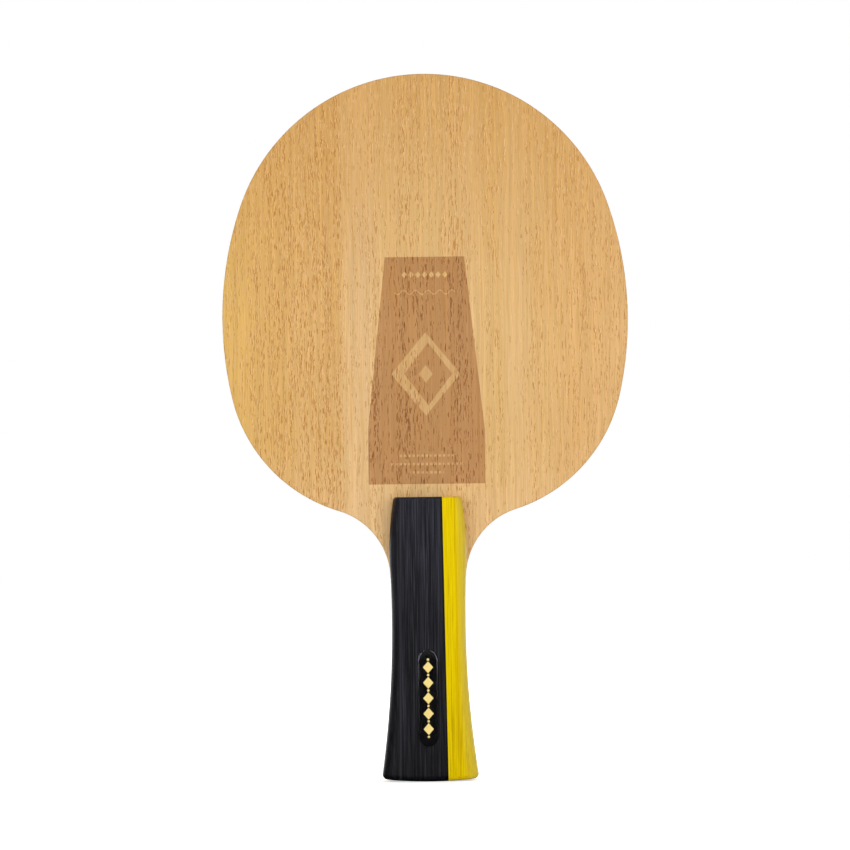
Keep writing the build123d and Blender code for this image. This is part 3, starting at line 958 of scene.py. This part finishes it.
def cast_resin():
    """Clear poured resin: colourless and wet-smooth, with the refraction of epoxy. A layer this
    thin lets the lamps straight through to the foil."""
    material, tree = new_material("clear poured resin")
    resin = add(tree, "ShaderNodeBsdfPrincipled",
                {"Base Color": linear("ffffff"), "Roughness": 0.08, "IOR": 1.5,
                 "Transmission Weight": 1.0, "Specular IOR Level": 0.25})
    lamp_ray = add(tree, "ShaderNodeLightPath").outputs["Is Shadow Ray"]
    shader = add(tree, "ShaderNodeMixShader",
                 {0: lamp_ray, 1: resin, 2: add(tree, "ShaderNodeBsdfTransparent")})
    add(tree, "ShaderNodeOutputMaterial", {"Surface": shader})
    return material


def dome_columns():
    """From the crest to the rim and under: the height over the rim is the superellipse
    (1 - (1 - inset / half width) ^ curve) ^ (1 / curve) of the dome's rise, flat but for its
    rim. Columns crowd towards the rim."""
    rim_y = dome_high[1] - DOME_RIM
    rise = rim_y - dome_low[1]
    columns = []
    for share in (np.linspace(0, 1, 22) ** 1.8)[::-1]:
        height = (1 - (1 - share) ** DOME_CURVE) ** (1 / DOME_CURVE)
        columns.append((share * BADGE_HALF_WIDTH, 0, rim_y - rise * height))
    bottom = dome_high[1] + DOME_SINK
    columns += [(0, 0, bottom), (0, 1, bottom)]
    return columns


dome = slab("badge-dome", loop, dome_columns())
stand_in(dome, "badge_dome", cast_resin())

# ==== Studio ===============================================================================
# A white table and room, soft boxes round the object, and a long lens square to the face.

FLOOR_HALF = 4.0
CAMERA_DISTANCE = 3.0
VIEW_WIDTH = 314.66 * MM
VIEW_CENTRE_X = -0.515 * MM
VIEW_CENTRE_Z = TIP_Z - 129.9 * MM
ROLL = math.radians(0.705)
SENSOR = 36.0


def white_table():
    """Matt white laminate, which keeps only the softest shade. To the eye it glows as white as
    the room from a metre out, but it lights nothing by that. In a gloss it is flagged dark, and
    what lies under the clear resin sees it white."""
    material, tree = new_material("matt white table")
    mottle = add(tree, "ShaderNodeTexNoise", {"Vector": stretched(tree, 90, 90, 90)})
    tone = add(tree, "ShaderNodeMix",
               {"Factor": mottle, "A": linear("f3f3f3"), "B": linear("f8f8f8")},
               data_type="RGBA")
    place = add(tree, "ShaderNodeTexCoord").outputs["Object"]
    out = add(tree, "ShaderNodeVectorMath", {0: place}, operation="LENGTH").outputs["Value"]
    glow = add(tree, "ShaderNodeMapRange",
               {"Value": out, "From Min": 0.25, "From Max": 1.0, "To Min": 0.5, "To Max": 1.0},
               interpolation_type="SMOOTHSTEP")
    path = add(tree, "ShaderNodeLightPath")
    seen_glow = add(tree, "ShaderNodeMath", {0: path.outputs["Is Camera Ray"], 1: glow},
                    operation="MULTIPLY")
    shader = add(tree, "ShaderNodeBsdfPrincipled",
                 {"Base Color": tone, "Roughness": 0.8, "Emission Color": linear("ffffff"),
                  "Emission Strength": seen_glow})
    flagged = add(tree, "ShaderNodeBsdfDiffuse", {"Color": linear("1c1c1c")})
    gloss_ray = add(tree, "ShaderNodeMath",
                    {0: path.outputs["Is Glossy Ray"], 1: path.outputs["Is Transmission Ray"]},
                    operation="SUBTRACT", use_clamp=True)
    surface_seen = add(tree, "ShaderNodeMixShader", {0: gloss_ray, 1: shader, 2: flagged})
    add(tree, "ShaderNodeOutputMaterial", {"Surface": surface_seen})
    return material


table_mesh = bpy.data.meshes.new("table")
table_mesh.from_pydata(
    [(x * FLOOR_HALF, y * FLOOR_HALF, BUTT_Z) for x, y in ((-1, -1), (1, -1), (1, 1), (-1, 1))],
    [], [(0, 1, 2, 3)])
table = bpy.data.objects.new("table", table_mesh)
bpy.context.collection.objects.link(table)
table.data.materials.append(white_table())

world = bpy.data.worlds.new("white room")
world.use_nodes = True
room = world.node_tree
room.nodes.clear()
seen = add(room, "ShaderNodeLightPath").outputs["Is Camera Ray"]
level = add(room, "ShaderNodeMapRange", {"Value": seen, "To Min": 0.22, "To Max": 1.0})
glow = add(room, "ShaderNodeBackground", {"Color": (1, 1, 1, 1), "Strength": level})
add(room, "ShaderNodeOutputWorld", {"Surface": glow})
bpy.context.scene.world = world


def soft_box(name, azimuth, elevation, distance, size, power):
    """A square area light that looks at the object's middle."""
    light = bpy.data.lights.new(name, "AREA")
    light.size = size
    light.energy = power
    lamp = bpy.data.objects.new(name, light)
    turn, tilt = math.radians(azimuth), math.radians(elevation)
    middle = np.array([0, 0, (TIP_Z + BUTT_Z) / 2])
    away = np.array([
        math.sin(turn) * math.cos(tilt), -math.cos(turn) * math.cos(tilt), math.sin(tilt)])
    lamp.location = middle + distance * away
    lamp.rotation_euler = (math.pi / 2 - tilt, 0, turn)
    bpy.context.collection.objects.link(lamp)


soft_box("left box", -33, 12, 1.5, 1.1, 10.4)
soft_box("right box", 31, 10, 1.5, 1.1, 10.4)
soft_box("top box", 0, 80, 1.3, 1.2, 3)
soft_box("rear left box", -145, 15, 1.5, 1.1, 10.4)
soft_box("rear right box", 145, 15, 1.5, 1.1, 10.4)

camera_data = bpy.data.cameras.new("camera")
camera_data.sensor_width = SENSOR
camera_data.lens = SENSOR * CAMERA_DISTANCE / VIEW_WIDTH
camera_data.clip_end = 20
camera = bpy.data.objects.new("camera", camera_data)
camera.location = (VIEW_CENTRE_X, -CAMERA_DISTANCE, VIEW_CENTRE_Z)
camera.rotation_euler = (math.pi / 2, ROLL, 0)
bpy.context.collection.objects.link(camera)
bpy.context.scene.camera = camera
bpy.context.scene.view_settings.view_transform = "Standard"
